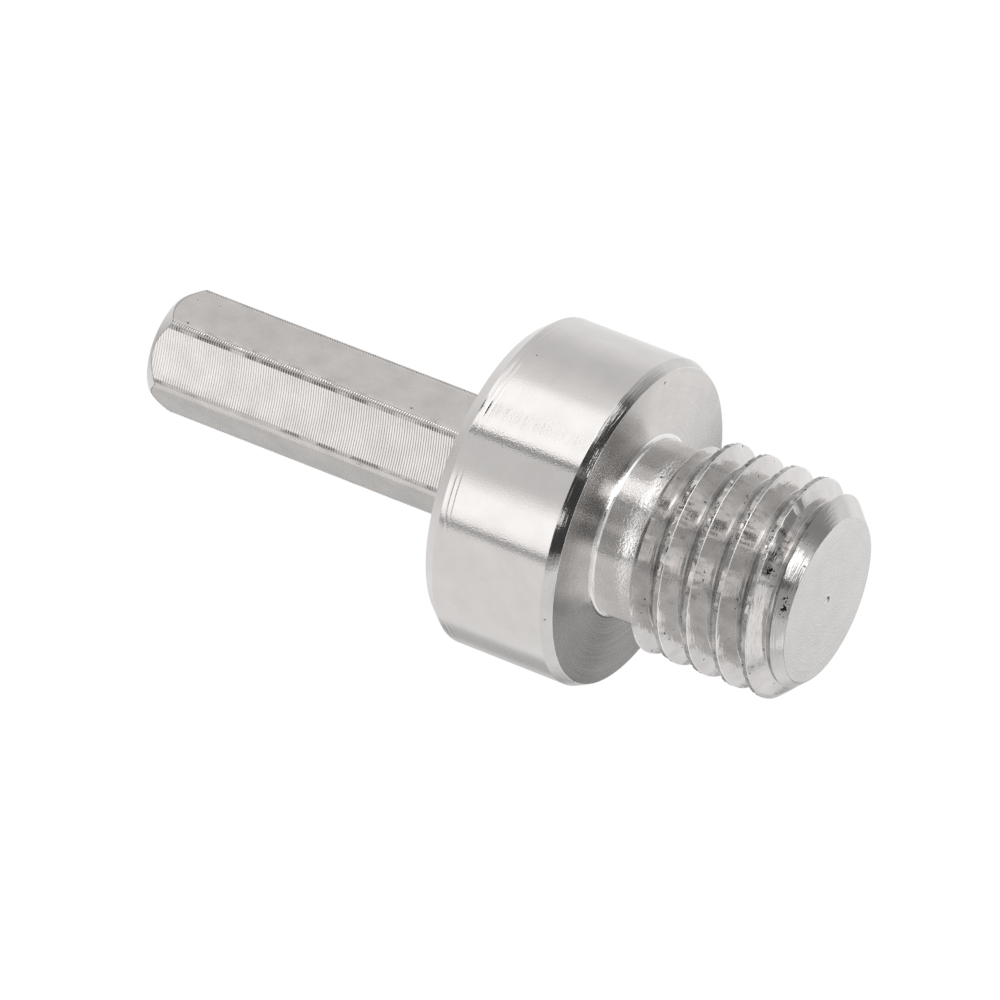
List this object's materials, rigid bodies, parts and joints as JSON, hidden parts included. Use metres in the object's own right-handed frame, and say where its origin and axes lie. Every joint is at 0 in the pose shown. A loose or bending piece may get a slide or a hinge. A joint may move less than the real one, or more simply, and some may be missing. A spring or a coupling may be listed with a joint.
{
  "type": "core bit adapter",
  "caption": "One-piece adapter with a hexagonal drive shank, a round collar with a flat shoulder, and a coarse right-hand external thread that carries a core bit.",
  "frame": {"origin": "centre of the shank's flat end face, on which the adapter stands", "axes": "+Z along the turning axis from the shank to the thread, +X out of one flat of the hexagon"},
  "size_m": [0.024, 0.024, 0.0526],
  "materials": {
    "nickel_plate": "turned and milled steel, satin nickel plate"
  },
  "bodies": {
    "root": {"adapter_body": "nickel_plate"}
  },
  "joints": []
}
